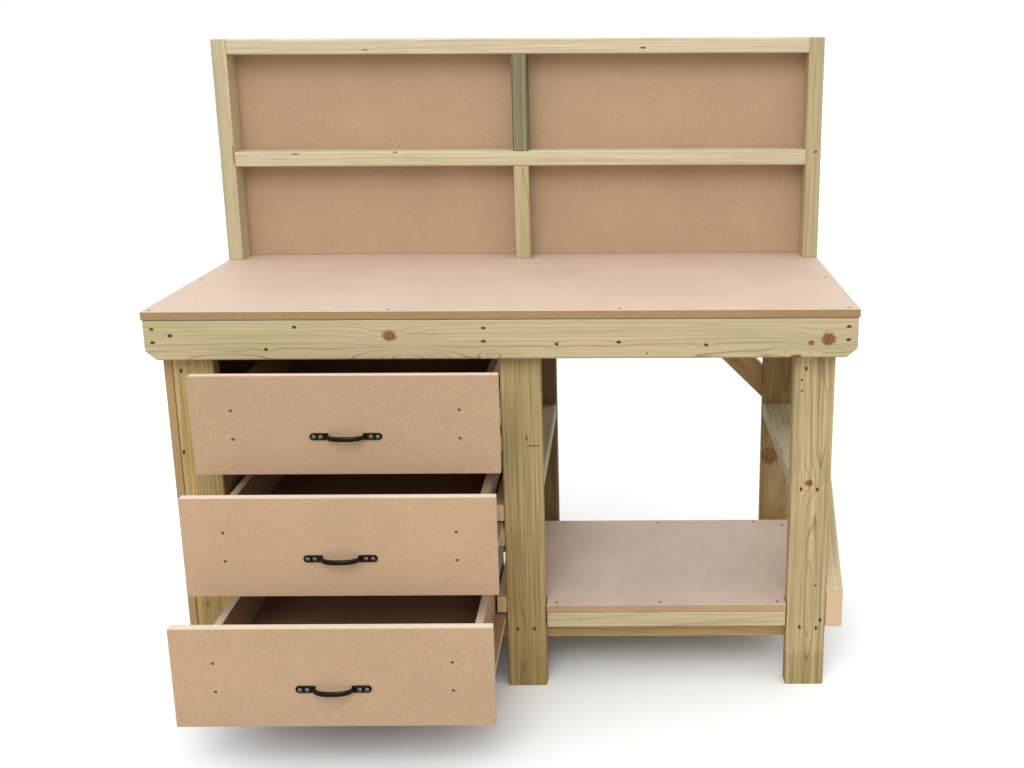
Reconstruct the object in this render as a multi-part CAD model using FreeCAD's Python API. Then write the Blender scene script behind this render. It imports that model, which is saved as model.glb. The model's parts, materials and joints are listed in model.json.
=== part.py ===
import FreeCAD, Part
import math
import os

# A home-built workbench: treated timber frame, board worktop with a raised
# two-tier shelf unit along its back edge, three wide drawers on wooden
# runners in the left bay and an open bay with a low shelf on the right.
# X runs to the right, Y to the back and Z up, with the floor at zero.
# The drawers stand open by different amounts, as they are left in use.

Vec = FreeCAD.Vector

# Overall sizes of the bench
worktop_length = 1524.0
worktop_depth = 610.0
worktop_height = 914.0

# Stock: planed timber sections and sheet material
timber_thick = 38.0
timber_wide = 89.0
timber_narrow = 63.0
batten_thick = 22.0
board_thick = 18.0
timber_arris = 2.5
board_arris = 0.8

# Top frame
rail_end_inset = 3.0
rail_corner_cut_along = 24.0
rail_corner_cut_up = 21.0

# Leg frames
centre_leg_left = -11.0
mid_rung_underside = 477.0
low_rung_top = 165.0
side_panel_underside = 148.0

# Bracing
side_brace_heel = 15.0
back_brace_rise = 287.0

# Low shelf in the right bay
shelf_back_gap = 58.0
shelf_gap = 2.0
shelf_rail_gap = 3.0

# Drawers
drawer_count = 3
drawer_top_gap = 9.5
drawer_front_gap = 10.0
drawer_front_drop = 39.0
drawer_front_overlap = 10.0
drawer_box_height = 92.0
drawer_box_inset = 27.0
drawer_back_gap = 35.0
top_drawer_opening = 98.0
middle_drawer_opening = 196.0
bottom_drawer_opening = 305.0

# Clearances of the drawers
slide_clearance = 0.5
flange_side_clearance = 3.0
flange_top_clearance = 4.0
closed_gap = 1.0

# Bow handle
handle_length = 152.0
handle_plate_length = 40.0
handle_plate_width = 15.0
handle_plate_thick = 3.2
handle_plate_arris = 0.8
handle_plate_corner = 2.5
bow_reach = 19.0
bow_fullness = 2.3
bow_root_inset = 3.5
bow_middle_width = 11.0
bow_middle_thick = 8.0
bow_end_width = 9.0
bow_end_thick = 6.0
bow_sections = 11
bow_sides = 12
handle_drop = 24.0

# Handle screws
screw_head_radius = 3.8
screw_shank_radius = 1.8
screw_head_height = 2.2
screw_length = 16.0
screw_edge_distance = 9.0
screw_spacing = 14.5
screw_clearance = 0.12

# Raised shelf unit
upstand_bay_height = 241.0

# One overrun for every cut
overrun = 5.0

# Levels worked out from the sizes above
worktop_underside = worktop_height - board_thick
rail_underside = worktop_underside - timber_wide
upstand_height = upstand_bay_height * 2 + timber_thick * 2
upstand_top = worktop_height + upstand_height
low_rung_underside = low_rung_top - timber_thick
shelf_underside = low_rung_top + batten_thick

# Places along X
rail_end = worktop_length / 2 - rail_end_inset
leg_outer = rail_end - timber_thick
leg_inner = leg_outer - timber_wide
centre_leg_right = centre_leg_left + timber_wide
centre_leg_middle = centre_leg_left + timber_wide / 2
leg_spans = {
    "left": (-leg_outer, -leg_inner),
    "centre": (centre_leg_left, centre_leg_right),
    "right": (leg_inner, leg_outer),
}
bay_left = -leg_inner
bay_right = centre_leg_left

# Places along Y, counted from the worktop's front edge
leg_front = timber_thick
front_leg_back = leg_front + timber_thick
rear_rail_front = worktop_depth - timber_thick
back_leg_front = rear_rail_front - timber_thick
front_stretcher_back = front_leg_back + timber_thick
back_stretcher_front = back_leg_front - timber_thick
shelf_front = leg_front
shelf_back = back_leg_front - shelf_back_gap
upright_back = worktop_depth - board_thick
upright_front = upright_back - timber_narrow

# The drawers share the height between the low rungs and the top rail
closed_front_face = leg_front - closed_gap - board_thick
drawer_box_length = rear_rail_front - drawer_back_gap - closed_front_face - board_thick
drawer_room = rail_underside - drawer_top_gap - low_rung_top - slide_clearance
drawer_pitch = (drawer_room + drawer_front_drop + drawer_front_gap) / drawer_count
drawer_front_height = drawer_pitch - drawer_front_gap

# The origin lies under the middle of the whole outline, drawers included
front_reach = bottom_drawer_opening - closed_front_face + bow_reach + bow_middle_thick / 2
worktop_front_y = (front_reach - worktop_depth) / 2


def save(name, solids):
    """Write one node, moved so that the origin is where the frame says."""
    shape = solids[0] if len(solids) == 1 else Part.makeCompound(solids)
    placed = shape.copy()
    placed.translate(Vec(0, worktop_front_y, 0))
    placed.exportStep("parts/" + name + ".step")


def block(xs, ys, zs):
    """A square-edged piece between the given limits."""
    size = [span[1] - span[0] for span in (xs, ys, zs)]
    return Part.makeBox(size[0], size[1], size[2], Vec(xs[0], ys[0], zs[0]))


def edges_along(solid, direction):
    """The straight edges that run along a direction."""
    found = []
    for edge in solid.Edges:
        run = edge.Vertexes[-1].Point - edge.Vertexes[0].Point
        if run.Length > 0 and abs(run.dot(direction)) > 0.999 * run.Length:
            found.append(edge)
    return found


def timber(xs, ys, zs, grain):
    """A length of planed timber whose long edges are taken off."""
    solid = block(xs, ys, zs)
    return solid.makeChamfer(timber_arris, edges_along(solid, grain))


def sheet(xs, ys, zs):
    """A cut piece of sheet material with its sharp edges taken off."""
    solid = block(xs, ys, zs)
    return solid.makeChamfer(board_arris, solid.Edges)


def prism(points, thickness):
    """A flat outline pushed through along a vector."""
    outline = Part.makePolygon(points + [points[0]])
    return Part.Face(outline).extrude(thickness)


ALONG_X = Vec(1, 0, 0)
ALONG_Y = Vec(0, 1, 0)
ALONG_Z = Vec(0, 0, 1)


def make_worktop():
    half = worktop_length / 2
    save("worktop", [sheet((-half, half), (0, worktop_depth), (worktop_underside, worktop_height))])


def rail_corner(side):
    """The wedge that is sawn off a lower corner of the front rail."""
    inner = side * (rail_end - rail_corner_cut_along)
    beyond = side * (rail_end + overrun)
    low = rail_underside - overrun
    slope = rail_corner_cut_up / rail_corner_cut_along
    points = [
        Vec(inner - side * overrun / slope, -overrun, low),
        Vec(beyond, -overrun, rail_underside + rail_corner_cut_up + overrun * slope),
        Vec(beyond, -overrun, low),
    ]
    return prism(points, Vec(0, timber_thick + overrun * 2, 0))


def make_top_frame():
    levels = (rail_underside, worktop_underside)
    front = timber((-rail_end, rail_end), (0, timber_thick), levels, ALONG_X)
    for side in (-1, 1):
        front = front.cut(rail_corner(side))
    save("front_top_rail", [front])
    back_place = (rear_rail_front, worktop_depth)
    save("back_top_rail", [timber((-rail_end, rail_end), back_place, levels, ALONG_X)])
    between = (timber_thick, rear_rail_front)
    places = {
        "left": (-rail_end, -leg_outer),
        "centre": (centre_leg_left - timber_thick, centre_leg_left),
        "right": (leg_outer, rail_end),
    }
    for name, span in places.items():
        save(name + "_top_rail", [timber(span, between, levels, ALONG_Y)])


def make_leg_frames():
    for name, span in leg_spans.items():
        full = (0, worktop_underside)
        save(name + "_front_leg", [timber(span, (leg_front, front_leg_back), full, ALONG_Z)])
        save(name + "_back_leg", [timber(span, (back_leg_front, rear_rail_front), full, ALONG_Z)])
        between_legs = (front_leg_back, back_leg_front)
        middle = (mid_rung_underside, mid_rung_underside + timber_thick)
        save(name + "_mid_rung", [timber(span, between_legs, middle, ALONG_Y)])
        between_stretchers = (front_stretcher_back, back_stretcher_front)
        low = (low_rung_underside, low_rung_top)
        save(name + "_low_rung", [timber(span, between_stretchers, low, ALONG_Y)])


def make_stretchers():
    across = (-leg_outer, leg_outer)
    levels = (low_rung_top - timber_narrow, low_rung_top)
    front_place = (front_leg_back, front_stretcher_back)
    save("front_stretcher", [timber(across, front_place, levels, ALONG_X)])
    back_place = (back_stretcher_front, back_leg_front)
    save("back_stretcher", [timber(across, back_place, levels, ALONG_X)])


def make_panels():
    outside = (-leg_outer - board_thick, -leg_outer)
    side_levels = (side_panel_underside, rail_underside)
    save("left_side_panel", [sheet(outside, (leg_front, rear_rail_front), side_levels)])
    behind = (rear_rail_front, rear_rail_front + board_thick)
    back_levels = (low_rung_top - timber_narrow, rail_underside)
    save("drawer_bay_back_panel", [sheet((-leg_outer, centre_leg_right), behind, back_levels)])


def make_side_brace():
    """The long brace on the right frame, from the front foot to the back of the top rail."""
    nose_top = side_panel_underside + timber_wide
    top_end = rear_rail_front - side_brace_heel
    slope = (rail_underside - nose_top) / (top_end - leg_front)
    drop = timber_wide * math.sqrt(1 + slope * slope)
    lower_at_nose = nose_top - drop
    lower_start = leg_front + (side_panel_underside - lower_at_nose) / slope
    lower_end = lower_at_nose + slope * (rear_rail_front - leg_front)
    points = [
        Vec(leg_outer, leg_front, side_panel_underside),
        Vec(leg_outer, leg_front, nose_top),
        Vec(leg_outer, top_end, rail_underside),
        Vec(leg_outer, rear_rail_front, rail_underside),
        Vec(leg_outer, rear_rail_front, lower_end),
        Vec(leg_outer, lower_start, side_panel_underside),
    ]
    save("side_brace", [prism(points, Vec(timber_thick, 0, 0))])


def make_back_brace():
    """The short brace at 45 degrees behind the right back leg."""
    drop = timber_narrow * math.sqrt(2)
    foot = rail_underside - back_brace_rise - timber_wide
    points = [
        Vec(leg_outer, rear_rail_front, foot),
        Vec(leg_outer, rear_rail_front, foot + drop),
        Vec(leg_inner - back_brace_rise + drop, rear_rail_front, rail_underside),
        Vec(leg_inner - back_brace_rise, rear_rail_front, rail_underside),
    ]
    save("back_brace", [prism(points, Vec(0, timber_thick, 0))])


def make_low_shelf():
    levels = (shelf_underside, shelf_underside + board_thick)
    tongue = block(
        (centre_leg_right + shelf_gap, leg_inner - shelf_gap),
        (shelf_front, front_leg_back + shelf_gap * 2),
        levels,
    )
    main = block((centre_leg_left, leg_outer), (front_leg_back + shelf_gap, shelf_back), levels)
    shelf = main.fuse(tongue).removeSplitter()
    save("lower_shelf", [shelf.makeChamfer(board_arris, shelf.Edges)])

    rail_levels = (shelf_underside - timber_thick, shelf_underside)
    inside = (centre_leg_right + shelf_rail_gap, leg_inner - shelf_rail_gap)
    save("shelf_front_rail", [timber(inside, (leg_front, front_leg_back), rail_levels, ALONG_X)])
    back_place = (shelf_back - timber_thick, shelf_back)
    save("shelf_back_rail", [timber((centre_leg_right, leg_inner), back_place, rail_levels, ALONG_X)])

    bearers = []
    for name in ("centre", "right"):
        middle = sum(leg_spans[name]) / 2
        span = (middle - timber_thick / 2, middle + timber_thick / 2)
        bearers.append(block(span, (front_leg_back, shelf_back), (low_rung_top, shelf_underside)))
    save("shelf_bearers", bearers)


def slide_level(step):
    """The level on which a drawer's bottom board slides, counted up from the lowest drawer."""
    return low_rung_top + drawer_pitch * step


def make_runners():
    """Pairs of battens that hold the edges of each drawer's bottom board.

    The lowest drawer slides on the two stretchers, so it has only the upper pair.
    """
    places = {
        "left": (bay_left, bay_left + batten_thick),
        "right": (bay_right - batten_thick, bay_right),
    }
    depth = (leg_front, rear_rail_front)
    for name, span in places.items():
        battens = []
        for step in range(drawer_count):
            level = slide_level(step)
            if step > 0:
                battens.append(block(span, depth, (level - timber_thick, level)))
            over = level + slide_clearance + board_thick + flange_top_clearance
            battens.append(block(span, depth, (over, over + timber_thick)))
        save(name + "_runners", battens)


def plate_outline(side):
    """One end plate of the handle, with clipped inner corners and a round outer end."""
    outer = handle_length / 2
    radius = handle_plate_width / 2
    inner = outer - handle_plate_length
    straight_end = side * (outer - radius)
    clipped = side * (inner + handle_plate_corner)
    inner_half = radius - handle_plate_corner
    corners = [
        Vec(straight_end, 0, radius),
        Vec(clipped, 0, radius),
        Vec(side * inner, 0, inner_half),
        Vec(side * inner, 0, -inner_half),
        Vec(clipped, 0, -radius),
        Vec(straight_end, 0, -radius),
    ]
    lines = [Part.makeLine(start, end) for start, end in zip(corners, corners[1:])]
    tip = Part.Arc(corners[-1], Vec(side * outer, 0, 0), corners[0]).toShape()
    return Part.Face(Part.Wire(lines + [tip]))


def countersunk(radius_gain, depth_behind):
    """A countersunk screw's form, head in front, pointing along +Y from the plate's face."""
    head = Part.makeCone(
        screw_head_radius + radius_gain,
        screw_shank_radius + radius_gain,
        screw_head_height,
        Vec(0, 0, 0),
        ALONG_Y,
    )
    shank = Part.makeCylinder(
        screw_shank_radius + radius_gain,
        depth_behind - screw_head_height,
        Vec(0, screw_head_height, 0),
        ALONG_Y,
    )
    return head.fuse(shank)


def screw_places():
    """Centres of the handle's four screws along its length."""
    first = handle_length / 2 - screw_edge_distance
    second = first - screw_spacing
    return (-first, -second, second, first)


def make_bow():
    """The hand grip: steep at both roots, nearly straight across and thicker in the middle."""
    half_span = handle_length / 2 - handle_plate_length + bow_root_inset
    power = 2 / bow_fullness
    wires = []
    for index in range(bow_sections):
        lean = math.pi / 2 * (2 * index / (bow_sections - 1) - 1)
        side = math.copysign(abs(math.sin(lean)) ** power, lean)
        rise = abs(math.cos(lean)) ** power
        centre = Vec(side * half_span, -rise * bow_reach, 0)
        steep = abs(side) ** (bow_fullness - 1) / half_span
        level = rise ** (bow_fullness - 1) / bow_reach
        out = Vec(math.copysign(steep, lean), -level, 0).normalize()
        swell = math.cos(lean)
        wide = (bow_end_width + (bow_middle_width - bow_end_width) * swell) / 2
        thick = (bow_end_thick + (bow_middle_thick - bow_end_thick) * swell) / 2
        ring = []
        for step in range(bow_sides + 1):
            turn = 2 * math.pi * step / bow_sides
            ring.append(centre + ALONG_Z * (wide * math.cos(turn)) + out * (thick * math.sin(turn)))
        wires.append(Part.makePolygon(ring))
    return Part.makeLoft(wires, True, True)


def make_handle():
    """The cast handle in its own place: plates against the plane Y = 0, grip towards -Y."""
    handle = make_bow()
    for side in (-1, 1):
        plate = plate_outline(side).extrude(Vec(0, -handle_plate_thick, 0))
        face_edges = [e for e in plate.Edges if e.BoundBox.YMax < -handle_plate_thick / 2]
        handle = handle.fuse(plate.makeChamfer(handle_plate_arris, face_edges))
    reach = handle_length + overrun
    behind = block((-reach, reach), (0, reach), (-reach, reach))
    handle = handle.cut(behind)
    for place in screw_places():
        hole = countersunk(screw_clearance, screw_length)
        hole.translate(Vec(place, -handle_plate_thick, 0))
        handle = handle.cut(hole)
    return handle.removeSplitter()


def make_drawer(name, step, opening):
    """One drawer: overlaid front, four box walls, a bottom board whose edges slide, and its handle."""
    bottom_level = slide_level(step) + slide_clearance
    box_level = bottom_level + board_thick
    front_low = bottom_level - drawer_front_drop
    front_high = front_low + drawer_front_height
    face = closed_front_face - opening
    inside = face + board_thick
    back = inside + drawer_box_length

    span = (bay_left - drawer_front_overlap, bay_right + drawer_front_overlap)
    front = sheet(span, (face, inside), (front_low, front_high))
    flange = (bay_left + flange_side_clearance, bay_right - flange_side_clearance)
    save(name + "_bottom", [sheet(flange, (inside, back), (bottom_level, box_level))])

    outer_left = bay_left + drawer_box_inset
    outer_right = bay_right - drawer_box_inset
    inner = (outer_left + board_thick, outer_right - board_thick)
    levels = (box_level, box_level + drawer_box_height)
    save(name + "_left_side", [sheet((outer_left, inner[0]), (inside, back), levels)])
    save(name + "_right_side", [sheet((inner[1], outer_right), (inside, back), levels)])
    save(name + "_inner_front", [sheet(inner, (inside, inside + board_thick), levels)])
    save(name + "_back", [sheet(inner, (back - board_thick, back), levels)])

    handle_at = Vec((bay_left + bay_right) / 2, face, (front_low + front_high) / 2 - handle_drop)
    handle = make_handle()
    handle.translate(handle_at)
    save(name + "_handle", [handle])
    screws = []
    for place in screw_places():
        shift = handle_at + Vec(place, -handle_plate_thick, 0)
        screw = countersunk(0, screw_length)
        screw.translate(shift)
        screws.append(screw)
        pilot = countersunk(screw_clearance, screw_length + screw_clearance)
        pilot.translate(shift)
        front = front.cut(pilot)
    save(name + "_handle_screws", screws)
    save(name + "_front", [front])


def make_drawers():
    make_drawer("bottom_drawer", 0, bottom_drawer_opening)
    make_drawer("middle_drawer", 1, middle_drawer_opening)
    make_drawer("top_drawer", 2, top_drawer_opening)


def make_upstand():
    """The raised shelf unit: two uprights, two long boards, a divider in each tier and a back."""
    half = worktop_length / 2
    depth = (upright_front, upright_back)
    inner = half - timber_thick
    full = (worktop_height, upstand_top)
    save("upstand_left_upright", [timber((-half, -inner), depth, full, ALONG_Z)])
    save("upstand_right_upright", [timber((inner, half), depth, full, ALONG_Z)])
    lower_tier_top = worktop_height + upstand_bay_height
    mid_top = lower_tier_top + timber_thick
    top_underside = upstand_top - timber_thick
    save("upstand_mid_shelf", [timber((-inner, inner), depth, (lower_tier_top, mid_top), ALONG_X)])
    save("upstand_top_board", [timber((-inner, inner), depth, (top_underside, upstand_top), ALONG_X)])
    middle = (-timber_thick / 2, timber_thick / 2)
    save("upstand_dividers", [
        timber(middle, depth, (worktop_height, lower_tier_top), ALONG_Z),
        timber(middle, depth, (mid_top, top_underside), ALONG_Z),
    ])
    save("upstand_back_panel", [sheet((-half, half), (upright_back, worktop_depth), full)])


os.makedirs("parts", exist_ok=True)
make_worktop()
make_top_frame()
make_leg_frames()
make_stretchers()
make_panels()
make_side_brace()
make_back_brace()
make_low_shelf()
make_runners()
make_drawers()
make_upstand()
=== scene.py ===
import json
import math
import random

import bmesh
import bpy
from mathutils import Matrix, Vector

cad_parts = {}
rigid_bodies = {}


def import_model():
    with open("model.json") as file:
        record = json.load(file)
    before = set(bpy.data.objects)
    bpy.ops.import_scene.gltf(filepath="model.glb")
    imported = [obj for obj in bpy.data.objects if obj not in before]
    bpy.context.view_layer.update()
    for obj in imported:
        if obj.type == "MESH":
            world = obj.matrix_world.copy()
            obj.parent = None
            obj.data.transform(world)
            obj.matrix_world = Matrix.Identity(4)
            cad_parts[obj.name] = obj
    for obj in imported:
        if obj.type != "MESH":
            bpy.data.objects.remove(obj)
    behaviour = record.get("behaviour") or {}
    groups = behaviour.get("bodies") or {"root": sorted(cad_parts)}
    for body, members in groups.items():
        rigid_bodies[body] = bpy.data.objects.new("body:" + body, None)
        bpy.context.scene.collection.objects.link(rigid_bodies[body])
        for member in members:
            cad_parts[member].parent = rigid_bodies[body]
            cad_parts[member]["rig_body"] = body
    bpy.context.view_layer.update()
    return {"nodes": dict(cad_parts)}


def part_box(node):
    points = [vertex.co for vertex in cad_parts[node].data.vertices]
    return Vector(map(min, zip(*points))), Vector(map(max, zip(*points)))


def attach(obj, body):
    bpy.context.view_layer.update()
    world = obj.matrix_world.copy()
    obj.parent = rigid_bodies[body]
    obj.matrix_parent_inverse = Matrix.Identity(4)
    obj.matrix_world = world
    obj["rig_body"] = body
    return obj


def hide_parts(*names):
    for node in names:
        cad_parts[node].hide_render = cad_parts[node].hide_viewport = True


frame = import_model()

# A timber workbench with a board worktop, a raised shelf unit, three drawers on
# wooden runners and an open bay with a low shelf. Lengths are in metres, X runs
# to the right, Y to the back and Z up. Every piece takes its place from the
# frame, so only finishes, small fasteners and the cast handles are made here.

nodes = frame["nodes"]

AXIS = {"X": Vector((1, 0, 0)), "Y": Vector((0, 1, 0)), "Z": Vector((0, 0, 1))}
MM = 0.001


# Shader graphs

class Graph:
    """Short calls for building a node tree. A value may be a number, a colour or a socket."""

    def __init__(self, tree):
        self.tree = tree

    def feed(self, socket, value):
        if isinstance(value, bpy.types.NodeSocket):
            self.tree.links.new(value, socket)
        elif value is not None:
            if socket.type == "RGBA" and len(value) == 3:
                value = (*value, 1.0)
            socket.default_value = value

    def node(self, kind, inputs=None, **settings):
        made = self.tree.nodes.new(kind)
        for name, value in settings.items():
            setattr(made, name, value)
        for key, value in (inputs or {}).items():
            self.feed(made.inputs[key], value)
        return made

    def math(self, operation, a, b=None, c=None):
        return self.node("ShaderNodeMath", {0: a, 1: b, 2: c}, operation=operation).outputs[0]

    def times(self, a, b):
        return self.math("MULTIPLY", a, b)

    def over(self, a, b):
        return self.math("DIVIDE", a, b)

    def plus(self, a, b):
        return self.math("ADD", a, b)

    def minus(self, a, b):
        return self.math("SUBTRACT", a, b)

    def times_plus(self, a, b, c):
        return self.math("MULTIPLY_ADD", a, b, c)

    def vector(self, operation, a, b=None):
        second = "Scale" if operation == "SCALE" else 1
        made = self.node("ShaderNodeVectorMath", {0: a, second: b}, operation=operation)
        return made.outputs["Value" if operation in ("DOT_PRODUCT", "LENGTH") else 0]

    def ramp(self, value, low, high, to_low=0.0, to_high=1.0, smooth=True):
        kind = "SMOOTHSTEP" if smooth else "LINEAR"
        inputs = {0: value, 1: low, 2: high, 3: to_low, 4: to_high}
        return self.node("ShaderNodeMapRange", inputs, interpolation_type=kind).outputs[0]

    def noise(self, vector, scale, detail=2.0, roughness=0.5):
        inputs = {"Vector": vector, "Scale": scale, "Detail": detail, "Roughness": roughness}
        return self.node("ShaderNodeTexNoise", inputs).outputs[0]

    def mix(self, share, a, b, blend="MIX"):
        inputs = {0: share, 6: a, 7: b}
        return self.node("ShaderNodeMix", inputs, data_type="RGBA", blend_type=blend).outputs[2]

    def split(self, vector):
        return self.node("ShaderNodeSeparateXYZ", {0: vector}).outputs

    def join(self, x, y, z):
        return self.node("ShaderNodeCombineXYZ", {0: x, 1: y, 2: z}).outputs[0]

    def grain(self, vector, pattern):
        """Noise drawn out along the grain, by one of the patterns named below."""
        along, across, detail, roughness = pattern
        return self.noise(self.vector("MULTIPLY", vector, (along, across, across)), 1.0, detail, roughness)

    def bump(self, height, distance, strength):
        inputs = {"Height": height, "Distance": distance, "Strength": strength}
        return self.node("ShaderNodeBump", inputs).outputs[0]

    def group(self, tree, *values):
        """The outputs of a node group whose inputs are fed in their order."""
        return self.node("ShaderNodeGroup", dict(enumerate(values)), node_tree=tree).outputs

    def tinted(self, colour, share):
        """A colour made darker or lighter by one share for all three channels."""
        grey = self.node("ShaderNodeCombineColor", {0: share, 1: share, 2: share}).outputs[0]
        return self.mix(1.0, colour, grey, "MULTIPLY")


def new_group(name, inputs, outputs):
    """An empty node group with the named float sockets, and a vector called Place."""
    group = bpy.data.node_groups.new(name, "ShaderNodeTree")
    group.interface.new_socket("Place", in_out="INPUT", socket_type="NodeSocketVector")
    for label in inputs:
        group.interface.new_socket(label, in_out="INPUT", socket_type="NodeSocketFloat")
    for label in outputs:
        group.interface.new_socket(label, in_out="OUTPUT", socket_type="NodeSocketFloat")
    graph = Graph(group)
    entry = graph.node("NodeGroupInput").outputs
    leave = graph.node("NodeGroupOutput").inputs
    return group, graph, entry, leave


# Patterns along the grain: how fine they are along it and across it, their detail and roughness
BROAD_WAVER = (3.0, 16.0, 2.0, 0.5)
FINE_WAVER = (14.0, 90.0, 2.0, 0.5)
FIBRES = (9.0, 620.0, 3.0, 0.6)
STREAKS = (2.2, 150.0, 2.0, 0.6)
THREADS = (4.0, 330.0, 2.0, 0.6)
CLOUDS = (2.0, 9.0, 3.0, 0.6)
BLUSHES = (2.6, 11.0, 3.0, 0.6)
CHECKS = (5.0, 260.0, 1.0, 0.5)
SAW_MARKS = (120.0, 12.0, 2.0, 0.5)

# Where in a ring the late wood ends, how far the lines waver, and how unevenly the rings follow
LATE_END = 0.95
WAVER = 1.4 * MM
UNEVEN_TURN, UNEVEN_SHARE = 210.0, 0.35


def make_rings_group():
    """Growth rings of a board, cut from a trunk whose heart lies at a place of its own.

    Place holds the coordinates along the grain, across the face and through the board.
    Line is the share of a ring that its dark late wood takes.
    """
    labels = ("Heart across", "Heart deep", "Lean across", "Lean deep",
              "Ring width", "Line", "Wander", "Push")
    group, g, entry, leave = new_group("growth_rings", labels, ("Late", "Ring"))
    along, across, deep = g.split(entry["Place"])
    slow = g.noise(g.join(g.times(along, 2.2), 0.0, entry["Heart deep"]), 1.0, 1.0)
    sway = g.times(g.minus(slow, 0.5), g.times(entry["Wander"], 3.0))
    heart_across = g.times_plus(along, entry["Lean across"], entry["Heart across"])
    heart_deep = g.times_plus(along, entry["Lean deep"], entry["Heart deep"])
    from_across = g.plus(g.minus(across, heart_across), sway)
    from_deep = g.plus(g.minus(deep, heart_deep), sway)
    radius = g.vector("LENGTH", g.join(0.0, from_across, from_deep))
    broad = g.grain(entry["Place"], BROAD_WAVER)
    fine = g.grain(entry["Place"], FINE_WAVER)
    radius = g.times_plus(g.minus(broad, 0.5), entry["Wander"], radius)
    radius = g.times_plus(g.minus(fine, 0.5), WAVER, radius)
    radius = g.plus(radius, entry["Push"])
    uneven = g.math("SINE", g.times(radius, UNEVEN_TURN))
    count = g.over(radius, entry["Ring width"])
    count = g.times_plus(uneven, UNEVEN_SHARE, count)
    part = g.math("FRACT", count)
    rise = g.ramp(part, g.minus(LATE_END, entry["Line"]), LATE_END)
    fall = g.ramp(part, LATE_END + 0.005, 1.0, 1.0, 0.0)
    dice = g.node("ShaderNodeTexWhiteNoise", {"W": g.math("FLOOR", count)}, noise_dimensions="1D")
    weight = g.ramp(dice.outputs[0], 0.0, 1.0, 0.22, 1.0, smooth=False)
    g.feed(leave["Late"], g.times(g.times(rise, fall), weight))
    g.feed(leave["Ring"], g.split(dice.outputs[1])[1])
    return group


def make_swell_group():
    """A soft hump in the trunk, which bends the rings into arches and closed loops."""
    labels = ("Along", "Across", "Half length", "Half width", "Lift")
    group, g, entry, leave = new_group("swell", labels, ("Push",))
    along, across = g.split(entry["Place"])[:2]
    reach_along = g.over(g.minus(along, entry["Along"]), entry["Half length"])
    reach_across = g.over(g.minus(across, entry["Across"]), entry["Half width"])
    reach = g.vector("LENGTH", g.join(reach_along, reach_across, 0.0))
    fade = g.math("EXPONENT", g.times(g.times(reach, reach), -1.0))
    g.feed(leave["Push"], g.times(fade, entry["Lift"]))
    return group


def make_knot_group():
    """A knot on a board's face: its disc, halo, rim and grain, and how far it pushes the rings aside."""
    labels = ("Along", "Across", "Face", "Radius", "Stretch", "Bend")
    group, g, entry, leave = new_group("knot", labels, ("Disc", "Halo", "Rim", "Push", "Grain"))
    along, across, deep = g.split(entry["Place"])
    wobble = g.minus(g.noise(entry["Place"], 110.0, 2.0), 0.5)
    off_along = g.over(g.minus(along, entry["Along"]), entry["Stretch"])
    off_across = g.minus(across, entry["Across"])
    below_face = g.times(g.minus(deep, entry["Face"]), 0.5)
    reach = g.vector("LENGTH", g.join(off_along, off_across, below_face))
    share = g.over(reach, entry["Radius"])
    share = g.times_plus(wobble, 0.7, share)
    disc = g.ramp(share, 0.88, 1.04, 1.0, 0.0)
    halo = g.ramp(share, 0.95, 1.50, 1.0, 0.0)
    rim = g.times(g.times(disc, g.minus(1.0, disc)), 4.0)
    slope = g.vector("LENGTH", g.join(g.times(off_along, 0.42), off_across, 0.0))
    slope = g.over(slope, entry["Radius"])
    swell = g.math("EXPONENT", g.times(g.times(slope, slope), -0.22))
    push = g.times(g.times(swell, entry["Radius"]), entry["Bend"])
    grain = g.math("FRACT", g.times_plus(share, 2.6, g.times(wobble, 1.2)))
    for socket, value in zip(leave, (disc, halo, rim, push, grain)):
        g.feed(socket, value)
    return group


RINGS = make_rings_group()
SWELL = make_swell_group()
KNOT = make_knot_group()


def new_material(name):
    made = bpy.data.materials.new(name)
    made.use_nodes = True
    made.node_tree.nodes.clear()
    return made, Graph(made.node_tree)


def finish_material(g, colour, roughness, normal, **constants):
    """Sets the shader's sockets. The constants are plain values, named as their sockets are."""
    inputs = {"Base Color": colour, "Roughness": roughness, "Normal": normal}
    inputs.update((label.replace("_", " "), value) for label, value in constants.items())
    shader = g.node("ShaderNodeBsdfPrincipled", inputs)
    g.node("ShaderNodeOutputMaterial", {0: shader.outputs[0]})


# Timber

# Each wood's early wood, its late wood and the green of its treatment
PALE_RAIL = ((0.565, 0.455, 0.275), (0.270, 0.210, 0.092), (0.470, 0.415, 0.200))
LEFT_LEG = ((0.560, 0.388, 0.158), (0.250, 0.160, 0.052), (0.430, 0.335, 0.112))
OLIVE_LEG = ((0.580, 0.425, 0.205), (0.270, 0.180, 0.068), (0.450, 0.370, 0.150))
# Painted shade: the centre back leg, deep under the worktop, is far darker, and the right back leg somewhat
# darker
SHADE_PAINTED_LEG = ((0.215, 0.130, 0.050), (0.100, 0.058, 0.020), (0.155, 0.110, 0.038))
HALF_SHADE_PAINTED_LEG = ((0.430, 0.290, 0.120), (0.210, 0.130, 0.046), (0.330, 0.250, 0.090))
WARM_LEG = ((0.570, 0.430, 0.222), (0.290, 0.200, 0.082), (0.470, 0.390, 0.175))
UPRIGHT_PINE = ((0.515, 0.415, 0.232), (0.330, 0.250, 0.115), (0.460, 0.400, 0.200))
LOW_RAIL = ((0.630, 0.515, 0.315), (0.310, 0.240, 0.110), (0.500, 0.440, 0.230))
SHELF_PINE = ((0.640, 0.535, 0.365), (0.430, 0.340, 0.190), (0.570, 0.510, 0.300))
LEFT_PINE = ((0.575, 0.475, 0.305), (0.385, 0.300, 0.160), (0.510, 0.450, 0.255))
GREEN_STRIPED = ((0.285, 0.248, 0.133), (0.042, 0.046, 0.022), (0.208, 0.190, 0.090))
GREY_RUNG = ((0.580, 0.505, 0.320), (0.270, 0.230, 0.125), (0.480, 0.450, 0.275))
BROWN_BRACE = ((0.610, 0.405, 0.185), (0.330, 0.200, 0.085), (0.470, 0.335, 0.140))
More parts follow.
